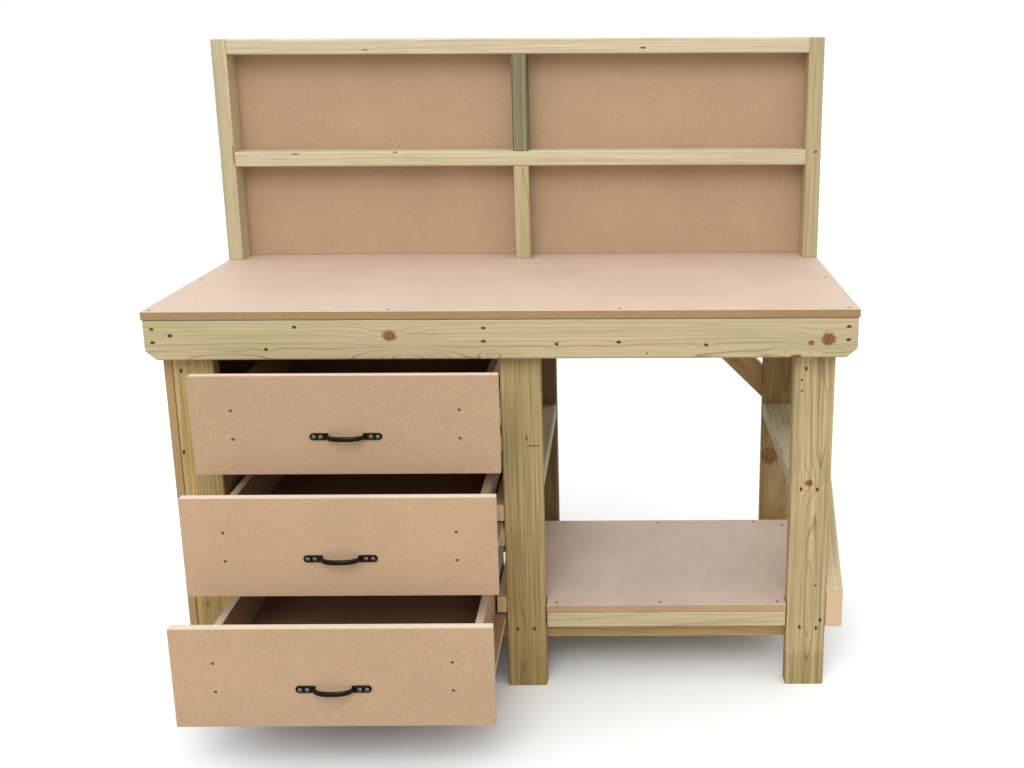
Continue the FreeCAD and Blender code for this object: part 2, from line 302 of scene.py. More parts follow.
YELLOW_BATTEN = ((0.640, 0.480, 0.270), (0.450, 0.310, 0.145), (0.560, 0.450, 0.230))

# The blush that treated timber shows in places
PINK_STAIN = (0.620, 0.465, 0.275)

# How strongly damp takes the red, green and blue out of a leg's foot
DAMP_SHARES = (1.0, 1.15, 1.80)

# Each mark's core, its darker grain, its halo, how strong the halo is and how far the rings bend
RED_KNOT = ((0.340, 0.135, 0.052), (0.120, 0.040, 0.015), (0.320, 0.180, 0.080), 0.70, 1.3)
DARK_KNOT = ((0.085, 0.034, 0.014), (0.030, 0.013, 0.006), (0.330, 0.190, 0.085), 0.55, 1.3)
SWIRL_KNOT = ((0.400, 0.185, 0.070), (0.085, 0.032, 0.011), (0.230, 0.130, 0.052), 0.60, 1.5)
FAINT_KNOT = ((0.330, 0.225, 0.085), (0.270, 0.180, 0.066), (0.400, 0.290, 0.110), 0.30, 0.6)
SCREW_STAIN = ((0.130, 0.082, 0.036), (0.050, 0.030, 0.013), (0.270, 0.210, 0.090), 0.50, 0.0)
SCAR = ((0.290, 0.130, 0.055), (0.090, 0.035, 0.014), (0.300, 0.170, 0.080), 0.40, 0.0)


def timber_material(name, centre, axes, tones, heart, lean, ring_width, line=0.30, contrast=0.65,
                    wander=0.006, streaks=1.0, knots=(), face=0.0, swells=(), dark_foot=0.0,
                    foot=(0.02, 0.62), stain=0.35, end_tone=None, end_contrast=0.8, end_from=0.85,
                    seam=None):
    """Treated softwood. axes gives the directions along the grain, across the face and through it.

    heart is where the trunk's centre lies from the board's middle, across and deep, and lean is
    how fast it wanders off along the board. Each knot is (along, across, radius, stretch, tones),
    on the face that lies at face through the board, and each swell (along, across, half length,
    half width, lift). The last argument is the height of a joint, along which a dark line of painted shade
    runs.
    """
    made, g = new_material(name)
    early, late_tone, green = tones
    place = g.node("ShaderNodeTexCoord").outputs["Object"]
    offset = g.vector("SUBTRACT", place, centre)
    board = g.join(*[g.vector("DOT_PRODUCT", offset, axis) for axis in axes])
    shifted = g.vector("ADD", board, (centre[0] * 3.1, centre[1] * 2.3, centre[2] * 1.7))

    push = 0.0
    discs = []
    for along, across, radius, stretch, knot_tones in knots:
        *knot_tones, bend = knot_tones
        knot = g.group(KNOT, board, along, across, face, radius, stretch, bend)
        push = g.plus(push, knot["Push"])
        discs.append((knot, knot_tones))
    for swell in swells:
        push = g.plus(push, g.group(SWELL, board, *swell)["Push"])
    rings = g.group(RINGS, board, *heart, *lean, ring_width, line, wander, push)
    late = rings["Late"]

    fibre, streak, thread, cloud, saw = (
        g.grain(shifted, pattern) for pattern in (FIBRES, STREAKS, THREADS, CLOUDS, SAW_MARKS))
    blush = g.grain(g.vector("ADD", shifted, (7.0, 3.0, 5.0)), BLUSHES)
    checks = g.ramp(g.grain(shifted, CHECKS), 0.72, 0.78)

    colour = g.mix(g.ramp(cloud, 0.42, 0.70, 0.0, 0.6), early, green)
    colour = g.mix(g.ramp(blush, 0.50, 0.72, 0.0, stain), colour, PINK_STAIN)
    tint = g.ramp(rings["Ring"], 0.0, 1.0, 0.95, 1.03, smooth=False)
    for pattern, low, high, darker, lighter in (
            (fibre, 0.25, 0.75, 0.10, 0.07), (streak, 0.30, 0.70, 0.11, 0.08),
            (thread, 0.32, 0.68, 0.13, 0.09), (saw, 0.30, 0.70, 0.020, 0.016)):
        shift = g.ramp(pattern, low, high, 1.0 - darker * streaks, 1.0 + lighter * streaks, smooth=False)
        tint = g.times(tint, shift)
    tint = g.times(tint, g.ramp(checks, 0.0, 1.0, 1.0, 0.68))
    colour = g.mix(g.times(late, contrast), colour, late_tone)
    if dark_foot:
        height = g.split(place)[2]
        ragged = g.times(g.minus(cloud, 0.5), 0.5 * (foot[1] - foot[0]))
        dry = g.ramp(g.plus(height, ragged), foot[0], foot[1])
        soaked = tuple(1.0 - dark_foot * share for share in DAMP_SHARES)
        colour = g.mix(1.0, colour, g.mix(dry, soaked, (1.0, 1.0, 1.0)), "MULTIPLY")

    facing = g.node("ShaderNodeTexCoord").outputs["Normal"]
    along_grain = g.math("ABSOLUTE", g.vector("DOT_PRODUCT", facing, axes[0]))
    end_share = g.ramp(along_grain, end_from - 0.05, end_from + 0.05)
    pores = g.noise(shifted, 900.0, 2.0)
    end_early = end_tone or tuple(0.92 * c for c in early)
    end_colour = g.mix(g.times(late, end_contrast), end_early, late_tone)
    end_colour = g.mix(g.ramp(pores, 0.35, 0.6, 0.35 * end_contrast, 0.0), end_colour, late_tone)
    colour = g.mix(end_share, colour, end_colour)
    tint = g.ramp(end_share, 0.0, 1.0, tint, 0.97)
    # Painted shade: a dark line where the rail meets the board above it
    if seam is not None:
        from_seam = g.math("ABSOLUTE", g.minus(g.split(place)[2], seam))
        tint = g.times(tint, g.ramp(from_seam, 1.0 * MM, 3.2 * MM, 0.34, 1.0))

    rough = g.ramp(fibre, 0.2, 0.8, 0.58, 0.76)
    for knot, (light, dark, halo, halo_share) in discs:
        core = g.mix(g.ramp(knot["Grain"], 0.3, 0.9, 0.0, 0.9), light, dark)
        colour = g.mix(g.times(knot["Halo"], halo_share), colour, halo)
        colour = g.mix(g.times(knot["Disc"], 0.96), colour, core)
        colour = g.mix(g.times(knot["Rim"], 0.60), colour, dark)
        rough = g.times_plus(knot["Disc"], -0.2, rough)
    colour = g.tinted(colour, tint)

    height = g.times_plus(late, 0.5, g.times(fibre, 0.6))
    height = g.times_plus(checks, -1.4, height)
    normal = g.bump(height, 0.25 * MM, 0.55)
    finish_material(g, colour, rough, normal, Specular_IOR_Level=0.32)
    return made


# Board

# The tones of each board's face and of its cut edges
# The fronts' and box boards' edge tones are paler than their faces as painted light: the sky's light on
# their upward cut edges
FRONT_BOARD = ((0.525, 0.355, 0.220), (0.720, 0.570, 0.450))
WORKTOP_BOARD = ((0.580, 0.440, 0.340), (0.400, 0.252, 0.120))
BACK_BOARD = ((0.475, 0.315, 0.195), (0.480, 0.320, 0.180))
# Painted shade: the drawer bay's back panel is darker than the other back board, for the shade inside the
# bay
SHADE_PAINTED_BACK_BOARD = ((0.300, 0.190, 0.110), (0.400, 0.260, 0.140))
SIDE_BOARD = ((0.390, 0.260, 0.125), (0.480, 0.315, 0.155))
SHELF_BOARD = ((0.600, 0.470, 0.380), (0.540, 0.360, 0.200))
BOX_BOARD = ((0.400, 0.258, 0.155), (0.700, 0.520, 0.345))
# Painted shade: the drawers' bottoms and backs are darker than their sides, for the shade inside a drawer
SHADE_PAINTED_BOTTOM_BOARD = ((0.290, 0.160, 0.090), (0.560, 0.400, 0.260))
SHADE_PAINTED_BOX_BOARD = ((0.215, 0.108, 0.060), (0.330, 0.220, 0.130))

# How fine the patterns of fibreboard are, in waves per metre, and how far its flecks are bent
BOARD_CLOUDS, BOARD_GRIT, BOARD_FUR, BOARD_SPECKS = 5.5, 260.0, 1300.0, 420.0
FLECK_CELLS, FLECK_BENDS, FLECK_BEND = 85.0, 130.0, 12.0 * MM


def board_material(name, centre, thin, half_thick, tones, seed, gloss=0.3, mottle=1.0):
    """Raw fibreboard: a smooth, faintly flecked face, and furry cut edges in layers."""
    made, g = new_material(name)
    face_tone, edge_tone = tones
    place = g.node("ShaderNodeTexCoord").outputs["Object"]
    facing = g.node("ShaderNodeTexCoord").outputs["Normal"]
    moved = g.vector("ADD", place, (seed * 1.7, seed * 0.9, seed * 2.3))

    cloud = g.noise(moved, BOARD_CLOUDS, 4.0, 0.62)
    grit = g.noise(moved, BOARD_GRIT, 3.0, 0.65)
    fur = g.noise(moved, BOARD_FUR)
    speck = g.noise(g.vector("ADD", moved, (3.0, 1.0, 2.0)), BOARD_SPECKS, 1.0)
    bends = g.node("ShaderNodeTexNoise", {"Vector": moved, "Scale": FLECK_BENDS, "Detail": 1.0}).outputs[1]
    bent = g.vector("ADD", moved, g.vector("SCALE", bends, FLECK_BEND))
    cells = g.node("ShaderNodeTexVoronoi", {"Vector": bent, "Scale": FLECK_CELLS})
    dice = g.split(cells.outputs["Color"])
    near = g.ramp(cells.outputs["Distance"], 0.07, 0.30, 1.0, 0.0)
    pale_fleck = g.times(near, g.ramp(dice[0], 0.74, 0.93))
    dark_fleck = g.times(near, g.ramp(dice[1], 0.84, 0.97))

    tint = g.ramp(cloud, 0.3, 0.7, 1.0 - 0.045 * mottle, 1.0 + 0.035 * mottle)
    for pattern, low, high, darkest, lightest in (
            (grit, 0.30, 0.70, 0.91, 1.08), (fur, 0.30, 0.70, 0.95, 1.04), (speck, 0.64, 0.74, 1.0, 0.86)):
        shift = g.ramp(pattern, low, high, darkest, lightest, smooth=False)
        tint = g.times(tint, shift)
    pale = tuple(min(1.0, 1.22 * c + 0.03) for c in face_tone)
    dark = tuple(0.72 * c for c in face_tone)
    face = g.mix(g.times(pale_fleck, 0.62), face_tone, pale)
    face = g.mix(g.times(dark_fleck, 0.34), face, dark)

    offset = g.vector("DOT_PRODUCT", g.vector("SUBTRACT", place, centre), thin)
    depth = g.over(g.math("ABSOLUTE", offset), half_thick)
    squash = Vector((70.0, 70.0, 70.0)) + 900.0 * thin
    layers = g.noise(g.vector("MULTIPLY", moved, squash), 1.0, 3.0, 0.6)
    dense = tuple(0.72 * c for c in edge_tone)
    edge = g.mix(g.ramp(depth, 0.62, 0.98, 0.0, 0.6), edge_tone, dense)
    edge = g.mix(g.ramp(layers, 0.38, 0.62, 0.45, 0.0), edge, dense)
    along_thin = g.math("ABSOLUTE", g.vector("DOT_PRODUCT", facing, thin))
    edge_share = g.ramp(along_thin, 0.25, 0.75, 1.0, 0.0)
    colour = g.mix(edge_share, face, edge)
    colour = g.tinted(colour, tint)

    rough = g.mix(edge_share, (0.52,) * 3, (0.9,) * 3)
    rough = g.times_plus(g.minus(grit, 0.5), 0.15, rough)
    height = g.times_plus(edge_share, g.times(layers, 2.2), grit)
    normal = g.bump(height, 0.12 * MM, 0.5)
    finish_material(g, colour, rough, normal, Specular_IOR_Level=gloss)
    return made


# Metals

def cast_iron_material():
    """Black japanned casting: deep gloss with the slight waviness of the mould."""
    made, g = new_material("black_cast_iron")
    place = g.node("ShaderNodeTexCoord").outputs["Object"]
    wave = g.noise(place, 240.0, 3.0, 0.6)
    grain = g.noise(place, 1500.0, 2.0, 0.5)
    colour = g.mix(g.ramp(wave, 0.35, 0.7), (0.0030, 0.0022, 0.0020), (0.0080, 0.0062, 0.0058))
    rough = g.ramp(grain, 0.25, 0.75, 0.12, 0.22)
    height = g.times_plus(grain, 0.25, wave)
    normal = g.bump(height, 0.20 * MM, 0.3)
    finish_material(g, colour, rough, normal, Specular_IOR_Level=0.12, Coat_Weight=0.10, Coat_Roughness=0.06)
    return made


def screw_material(name, tone, roughness):
    """Plated screw steel with fine turning marks and dull patches."""
    made, g = new_material(name)
    place = g.node("ShaderNodeTexCoord").outputs["Object"]
    patch = g.noise(place, 600.0, 3.0, 0.6)
    mark = g.noise(place, 3500.0, 1.0)
    dull = tuple(0.78 * c for c in tone)
    colour = g.mix(g.ramp(patch, 0.35, 0.7), tone, dull)
    rough = g.ramp(mark, 0.2, 0.8, roughness - 0.04, roughness + 0.06)
    normal = g.bump(mark, 0.02 * MM, 0.4)
    finish_material(g, colour, rough, normal, Metallic=1.0)
    return made


CAST_IRON = cast_iron_material()
BRIGHT_STEEL = screw_material("bright_screw_steel", (0.46, 0.45, 0.43), 0.34)
BRONZE_STEEL = screw_material("wood_screw_steel", (0.230, 0.145, 0.070), 0.50)


# Pieces made from the frame's nodes

POCKET_MOUTH = 3.8 * MM
POCKET_FLOOR = 3.3 * MM
POCKET_DEPTH = 1.8 * MM
HEAD_SUNK = 1.0 * MM
WIDE_FACE = 2.0 * MM
TIMBER_EASE = 2.0 * MM
BOARD_EASE = 0.5 * MM
SAME_PLACE = 0.01 * MM
STAIN_RADIUS = 3.0 * MM
STAIN_STRETCH = 1.7
SHARP_ANGLE = math.radians(35)
EASED_ANGLE = math.radians(25)
FLAT_ANGLE = math.radians(2)
SAME_WAY = 0.9999
POCKET_SIDES = 24
SCREW_SIDES = 48
WOOD_SCREW = {"radius": 3.1 * MM, "dome": 0.1 * MM, "shank": 1.7 * MM, "length": 9 * MM}
HANDLE_SCREW = {"radius": 3.75 * MM, "dome": 0.75 * MM, "shank": 1.8 * MM, "length": 16 * MM}


def link_piece(name, data):
    """A new object in the scene that shows a mesh, a lamp or a camera."""
    piece = bpy.data.objects.new(name, data)
    bpy.context.scene.collection.objects.link(piece)
    return piece


def bare_mesh(bm, name):
    """The sketched faces as a mesh that keeps nothing but their shape."""
    mesh = bpy.data.meshes.new(name)
    bm.to_mesh(mesh)
    bm.free()
    normals = mesh.attributes.get("custom_normal")
    if normals:
        mesh.attributes.remove(normals)
    return mesh


def flat_mesh_of(node, keeps=None):
    """A copy of a node's mesh with its corners joined and its flat faces made whole.

    keeps tells which of its corners stay, for a node that holds more than one board.
    """
    bm = bmesh.new()
    bm.from_mesh(nodes[node].data)
    bmesh.ops.remove_doubles(bm, verts=bm.verts, dist=SAME_PLACE)
    if keeps:
        others = [vert for vert in bm.verts if not keeps(vert.co)]
        bmesh.ops.delete(bm, geom=others, context="VERTS")
    bmesh.ops.dissolve_limit(bm, angle_limit=FLAT_ANGLE, verts=bm.verts, edges=bm.edges)
    return bare_mesh(bm, node + "_eased")


def block_mesh_of(node):
    """A plain block that fills a node's box, for boards whose holes stay covered."""
    low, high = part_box(node)
    bm = bmesh.new()
    bmesh.ops.create_cube(bm, size=1.0)
    for vert in bm.verts:
        vert.co = Vector(low[i] + (vert.co[i] + 0.5) * (high[i] - low[i]) for i in range(3))
    return bare_mesh(bm, node + "_block")


def turned_to(direction, place):
    """A placement that lays local +Z along a direction."""
    return Matrix.Translation(place) @ direction.to_track_quat("Z", "Y").to_matrix().to_4x4()


def pocket_cutter(name, screws):
    """The cones that sink screw heads into a face. Each screw is a place on it and its outward normal."""
    bm = bmesh.new()
    flare = (POCKET_MOUTH - POCKET_FLOOR) / POCKET_DEPTH
    for place, normal in screws:
        bmesh.ops.create_cone(
            bm, cap_ends=True, segments=POCKET_SIDES, radius1=POCKET_FLOOR,
            radius2=POCKET_MOUTH + flare * POCKET_DEPTH, depth=2 * POCKET_DEPTH,
            matrix=turned_to(normal, place))
    return link_piece(name, bare_mesh(bm, name))


def add_ring(bm, places):
    return [bm.verts.new(place) for place in places]


def join_rings(bm, rings):
    """Skins a run of rings that have the same number of corners."""
    for inner, outer in zip(rings, rings[1:]):
        sides = len(inner)
        for side in range(sides):
            after = (side + 1) % sides
            bm.faces.new((inner[side], outer[side], outer[after], inner[after]))


def add_screw(bm, matrix, radius, dome, shank, length):
    """A screw whose head has a sunk cross, along local -Z from its rim at the origin."""
    sides = SCREW_SIDES
    arm, half_width, depth = 0.62 * radius, 0.18 * radius, 0.32 * radius
    turns = [2 * math.pi * side / sides for side in range(sides)]

    def ring(reaches, heights):
        return [(r * math.cos(a), r * math.sin(a), h) for r, a, h in zip(reaches, turns, heights)]

    def level(reach):
        return dome * (1 - (reach / radius) ** 2)

    cross = []
    for turn in turns:
        lean = abs(turn - round(turn / (math.pi / 2)) * (math.pi / 2))
        cross.append(min(arm, half_width / max(math.sin(lean), 1e-6)))
    profile = [(0.75 * radius, level(0.75 * radius)), (0.92 * radius, level(0.92 * radius)), (radius, 0.0),
               (0.97 * radius, -0.12 * radius), (shank, shank - radius), (shank, shank - 0.85 * length),
               (0.15 * shank, -length)]
    rings = [add_ring(bm, ring([0.85 * r for r in cross], [level(0) - depth] * sides)),
             add_ring(bm, ring(cross, [level(r) for r in cross]))]
    rings += [add_ring(bm, ring([reach] * sides, [height] * sides)) for reach, height in profile]
    middle = bm.verts.new((0, 0, level(0) - depth))
    for corner, after in zip(rings[0], rings[0][1:] + rings[0][:1]):
        bm.faces.new((middle, corner, after))
    join_rings(bm, rings)
    bm.faces.new(rings[-1])
    bmesh.ops.transform(bm, matrix=matrix, verts=[middle] + [vert for made in rings for vert in made])


def wide_directions(mesh):
    """The ways a piece's wide faces look."""
    found = []
    for face in mesh.polygons:
        corners = [mesh.vertices[index].co for index in face.vertices]
        around = sum((a - b).length for a, b in zip(corners, corners[1:] + corners[:1]))
        if face.area > WIDE_FACE * around:
            found.append(face.normal.copy())
    return found


def shade(mesh, flat_directions):
    """Wide faces stay flat and the narrow ones between them are smoothed."""
    mesh.set_sharp_from_angle(angle=SHARP_ANGLE)
    for face in mesh.polygons:
        face.use_smooth = not any(face.normal.dot(direction) > SAME_WAY for direction in flat_directions)


def sink_screws(node, screws):
    """The screws that sit in one node's pockets, as one piece on that node's body."""
    dice = random.Random(node)
    bm = bmesh.new()
    for place, normal in screws:
        sunk = place - normal * HEAD_SUNK
        spin = Matrix.Rotation(dice.uniform(0, math.pi), 4, "Z")
        add_screw(bm, turned_to(normal, sunk) @ spin, **WOOD_SCREW)
    finish_piece(bm, node + "_screws", BRONZE_STEEL, node)


def finish_piece(bm, name, material, node):
    """Turns a sketch of faces into a smooth piece that rides on a node's body."""
    bmesh.ops.recalc_face_normals(bm, faces=bm.faces)
    mesh = bare_mesh(bm, name)
    for face in mesh.polygons:
        face.use_smooth = True
    mesh.set_sharp_from_angle(angle=SHARP_ANGLE)
    mesh.materials.append(material)
    piece = link_piece(name, mesh)
    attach(piece, nodes[node]["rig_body"])
    return piece


def clean(mesh):
    """Joins corners that the bevel left in one place, and drops the faces without area between them."""
    bm = bmesh.new()
    bm.from_mesh(mesh)
    bmesh.ops.remove_doubles(bm, verts=bm.verts, dist=SAME_PLACE)
    bmesh.ops.dissolve_degenerate(bm, edges=bm.edges, dist=SAME_PLACE)
    bm.to_mesh(mesh)
    bm.free()


def shaped(piece, ease, cutter=None):
    """Eases a piece's edges, cuts its screw pockets and keeps the outcome as its mesh."""
    flat_directions = wide_directions(piece.data)
    bevel = piece.modifiers.new("ease", "BEVEL")
    bevel.width = ease
    bevel.segments = 2
    bevel.limit_method = "ANGLE"
    bevel.angle_limit = EASED_ANGLE
    if cutter:
        cut = piece.modifiers.new("pockets", "BOOLEAN")
        cut.operation = "DIFFERENCE"
        cut.solver = "EXACT"
        cut.object = cutter
    bpy.context.view_layer.update()
    graph = bpy.context.evaluated_depsgraph_get()
    made = bpy.data.meshes.new_from_object(piece.evaluated_get(graph))
    piece.modifiers.clear()
    piece.data = made
    if cutter:
        bpy.data.objects.remove(cutter)
    clean(made)
    shade(made, flat_directions)


def stand_for(node, name, mesh, material, ease, cutter=None):
    """A piece in a node's place and on its body: its mesh with eased edges, screw pockets and a finish."""
    piece = link_piece(name, mesh)
    shaped(piece, ease, cutter)
    piece.data.materials.clear()
    piece.data.materials.append(material)
    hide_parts(node)
    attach(piece, nodes[node]["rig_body"])


def dress(node, mesh, material, ease, screws=()):
    """The one piece that stands for a node, and the screws in its pockets."""
    cutter = pocket_cutter(node + "_cutter", screws) if screws else None
    stand_for(node, node + "_piece", mesh, material, ease, cutter)
    if screws:
        sink_screws(node, screws)


# Which way the boards of the frame run: along the grain, across the face, through the board
ALONG_X_UPRIGHT = (AXIS["X"], AXIS["Z"], AXIS["Y"])
ALONG_Y_UPRIGHT = (AXIS["Y"], AXIS["Z"], AXIS["X"])
ALONG_Y_FLAT = (AXIS["Y"], AXIS["X"], AXIS["Z"])
ALONG_Z_FRONT = (AXIS["Z"], AXIS["X"], AXIS["Y"])


def middle_of(node):
    low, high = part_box(node)
    return (low + high) / 2


def marks_at(node, axes, marks):
    """Marks that start with their place in the frame, along and across, told from the board's middle."""
    centre = middle_of(node)
    along, across = axes[:2]
    return [(mark[0] - centre.dot(along), mark[1] - centre.dot(across), *mark[2:]) for mark in marks]


def plank(node, axes, tones, heart, lean, ring_width, marks=(), swells=(), screws=(),
          slot="treated_timber", **more):
    """A length of timber. axes gives the directions along its grain, across its face and through it."""
    stains = tuple((place.dot(axes[0]), place.dot(axes[1]), STAIN_RADIUS, STAIN_STRETCH, SCREW_STAIN)
                   for place, normal in screws)
    face = (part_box(node)[0] - middle_of(node)).dot(axes[2])
    material = timber_material(
        node + "_wood", middle_of(node), axes, tones, heart, lean, ring_width,
        knots=marks_at(node, axes, tuple(marks) + stains), face=face,
        swells=marks_at(node, axes, swells), **more)
    dress(node, flat_mesh_of(node), material, TIMBER_EASE, screws)


def panel(node, thin, tones, slot, screws=(), covered_holes=False, **more):
    """A cut sheet of fibreboard."""
    low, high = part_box(node)
    direction = AXIS[thin]
    half_thick = (high - low).dot(direction) / 2
    seed = sum(ord(letter) for letter in node) % 37
    material = board_material(node + "_board", middle_of(node), direction, half_thick, tones, seed, **more)
    mesh = block_mesh_of(node) if covered_holes else flat_mesh_of(node)
    dress(node, mesh, material, BOARD_EASE, screws)


# Screw places that several pieces share

PANEL_MARGIN = 0.045
WORKTOP_MARGIN = 0.016
WORKTOP_SIDE_SCREW = 0.300
TO_FRONT = Vector((0, -1, 0))
TO_BACK = -TO_FRONT
TO_LEFT = -AXIS["X"]
TO_TOP = AXIS["Z"]


def on_face(normal, level, places):
    """Screws in a face that has one normal and level. Each place is told by its other two coordinates."""
    index = [bool(part) for part in normal].index(True)
    return [(Vector((*place[:index], level, *place[index:])), normal) for place in places]


def evenly(low, high, count):
    return [low + (high - low) * step / (count - 1) for step in range(count)]


def raised(low, marks):
    """Marks told by their height above a board's underside."""
    return [(x, low + up, *rest) for x, up, *rest in marks]


def make_top_frame():
    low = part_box("front_top_rail")[0]
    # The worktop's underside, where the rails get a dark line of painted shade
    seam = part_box("worktop")[0].z
    columns = (-0.740, -0.038, 0.738)
    places = [(x, low.z + up) for x in columns for up in (0.069, 0.040)]
    marks = (
        (-0.702, 0.055, 0.0036, 1.3, DARK_KNOT),
        (-0.438, 0.073, 0.0034, 1.3, DARK_KNOT),
        (-0.501, 0.024, 0.0032, 1.3, DARK_KNOT),
        (-0.238, 0.053, 0.0105, 1.25, RED_KNOT),
        (0.117, 0.033, 0.0032, 1.2, DARK_KNOT),
        (0.249, 0.037, 0.0034, 1.4, DARK_KNOT),
        (0.435, 0.030, 0.0034, 1.3, DARK_KNOT),
        (0.309, 0.012, 0.0018, 1.2, DARK_KNOT),
        (0.659, 0.034, 0.0052, 1.1, RED_KNOT),
        (0.696, 0.042, 0.0125, 1.1, RED_KNOT),
        (0.627, -0.001, 0.0080, 1.6, RED_KNOT),
    )
    swells = (
        (-0.200, 0.004, 0.075, 0.020, -0.026),
        (-0.025, 0.012, 0.018, 0.010, -0.009),
        (0.635, 0.014, 0.045, 0.018, -0.012),
        (0.270, -0.004, 0.110, 0.020, 0.007),
        (-0.600, -0.002, 0.090, 0.020, -0.008),
    )
    plank("front_top_rail", ALONG_X_UPRIGHT, PALE_RAIL, (-0.040, 0.020), (0.004, -0.004), 0.0058,
          marks=raised(low.z, marks), swells=raised(low.z, swells),
          screws=on_face(TO_FRONT, low.y, places), line=0.20, contrast=0.85, streaks=0.6, seam=seam)
    plank("back_top_rail", ALONG_X_UPRIGHT, PALE_RAIL, (0.02, -0.07), (0.01, 0.01), 0.0045, seam=seam)
    for side, heart in (("left", 0.03), ("centre", -0.02), ("right", 0.04)):
        plank(side + "_top_rail", ALONG_Y_UPRIGHT, PALE_RAIL, (heart, 0.06), (0.01, -0.02), 0.005, seam=seam)


def make_legs():
    legs = {
        "left": dict(
            tones=LEFT_LEG, heart=(0.070, 0.040), lean=(0.004, -0.006), ring_width=0.0044, wander=0.003,
            stain=0.1, dark_foot=0.14,
            marks=((0.213, -0.694, 0.0048, 1.3, FAINT_KNOT),),
            swells=((0.700, -0.670, 0.160, 0.020, 0.004),),
            screws=((-0.702, 0.772), (-0.7140, 0.584))),
        "centre": dict(
            tones=OLIVE_LEG, heart=(-0.060, 0.040), lean=(0.012, -0.004), ring_width=0.0042, wander=0.003,
            stain=0.1, dark_foot=0.24,
            marks=((0.595, 0.060, 0.0130, 0.12, SCAR), (0.612, 0.044, 0.0016, 4.0, SCAR)),
            swells=((0.100, 0.034, 0.130, 0.014, -0.014), (0.700, 0.010, 0.180, 0.020, 0.003)),
            screws=((0.013, 0.146), (0.051, 0.147))),
        "right": dict(
            tones=WARM_LEG, heart=(0.014, 0.018), lean=(-0.010, -0.004), ring_width=0.0054, contrast=0.8,
            dark_foot=0.14, foot=(0.070, 0.088),
            marks=((0.504, 0.672, 0.0080, 0.9, RED_KNOT), (0.745, 0.648, 0.0020, 1.5, DARK_KNOT),
                   (0.720, 0.649, 0.0018, 1.5, DARK_KNOT), (0.252, 0.695, 0.0022, 1.2, DARK_KNOT)),
            swells=((0.210, 0.674, 0.190, 0.018, -0.014), (0.640, 0.700, 0.110, 0.014, -0.006)),
            screws=((0.657, 0.771), (0.655, 0.489), (0.691, 0.488), (0.662, 0.147), (0.700, 0.145),
                    (0.709, 0.164))),
    }
    for side, look in legs.items():
        look["screws"] = on_face(TO_FRONT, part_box("left_front_leg")[0].y, look["screws"])
        plank(side + "_front_leg", ALONG_Z_FRONT, streaks=1.8, **look)
    swirl = (0.364, 0.653, 0.0195, 1.1, SWIRL_KNOT)
    # The centre and right back legs take tones darkened as painted shade
    backs = (("left", 0.07, OLIVE_LEG, ()), ("centre", 0.05, SHADE_PAINTED_LEG, ()),
             ("right", 0.06, HALF_SHADE_PAINTED_LEG, (swirl,)))
    for side, deep, tones, marks in backs:
        plank(side + "_back_leg", ALONG_Z_FRONT, tones, (0.01, deep), (0.004, -0.008), 0.0044,
              marks=marks, streaks=1.5)
        plank(side + "_mid_rung", ALONG_Y_FLAT, GREY_RUNG, (0.02, -deep), (0.03, -0.02), 0.0062,
              contrast=0.9, stain=0.0)
        plank(side + "_low_rung", ALONG_Y_FLAT, OLIVE_LEG, (-0.02, -deep), (0.01, 0.02), 0.0050)
    plank("front_stretcher", ALONG_X_UPRIGHT, BROWN_BRACE, (0.02, 0.07), (0.005, -0.02), 0.0048, line=0.6)
    plank("back_stretcher", ALONG_X_UPRIGHT, OLIVE_LEG, (-0.02, 0.07), (0.005, -0.02), 0.0048)


BRACE_LEAN = (0.004, -0.01)


def slanted(along, thin):
    """The axes of a brace whose grain follows its own length."""
    along = along.normalized()
    return along, thin.cross(along), thin


def make_braces():
    low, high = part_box("side_brace")
    rail_low, rail_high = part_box("front_top_rail")
    rise = high.z - low.z - (rail_high.z - rail_low.z)
    plank("side_brace", slanted(Vector((0, high.y - low.y, rise)), AXIS["X"]), PALE_RAIL, (0.02, 0.06),
          BRACE_LEAN, 0.005, end_tone=(0.74, 0.54, 0.33), end_contrast=0.25, end_from=0.62)
    plank("back_brace", slanted(Vector((-1, 0, 1)), AXIS["Y"]), BROWN_BRACE, (0.02, 0.07), BRACE_LEAN, 0.005)


def make_low_shelf():
    front_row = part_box("shelf_front_rail")[0].y + 0.0145
    back_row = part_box("shelf_back_rail")[0].y + 0.025
    places = [(0.103, front_row), (0.341, front_row), (0.612, front_row)]
    places += [(0.100, back_row), (0.348, back_row), (0.605, back_row), (0.678, back_row - 0.022)]
    screws = on_face(TO_TOP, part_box("lower_shelf")[1].z, places)
    panel("lower_shelf", "Z", SHELF_BOARD, "shelf_board", screws, mottle=1.6)
    plank("shelf_front_rail", ALONG_X_UPRIGHT, LOW_RAIL, (-0.02, 0.05), (0.01, -0.02), 0.006)
    plank("shelf_back_rail", ALONG_X_UPRIGHT, OLIVE_LEG, (0.02, 0.05), (0.01, -0.02), 0.005)
    plank("shelf_bearers", ALONG_Y_FLAT, YELLOW_BATTEN, (0.02, 0.05), (0.01, 0.02), 0.005,
          slot="batten_wood")


def make_runners():
    for side, heart in (("left", 0.03), ("right", -0.03)):
        plank(side + "_runners", ALONG_Y_UPRIGHT, YELLOW_BATTEN, (heart, 0.05), (0.01, 0.02), 0.0045,
              slot="batten_wood", end_tone=(0.70, 0.50, 0.27))


def rows_of(panel_box):
    """The heights of a panel's screws, evenly between its lower and upper edge."""
    low, high = panel_box
    return evenly(low.z + PANEL_MARGIN, high.z - PANEL_MARGIN, 4)


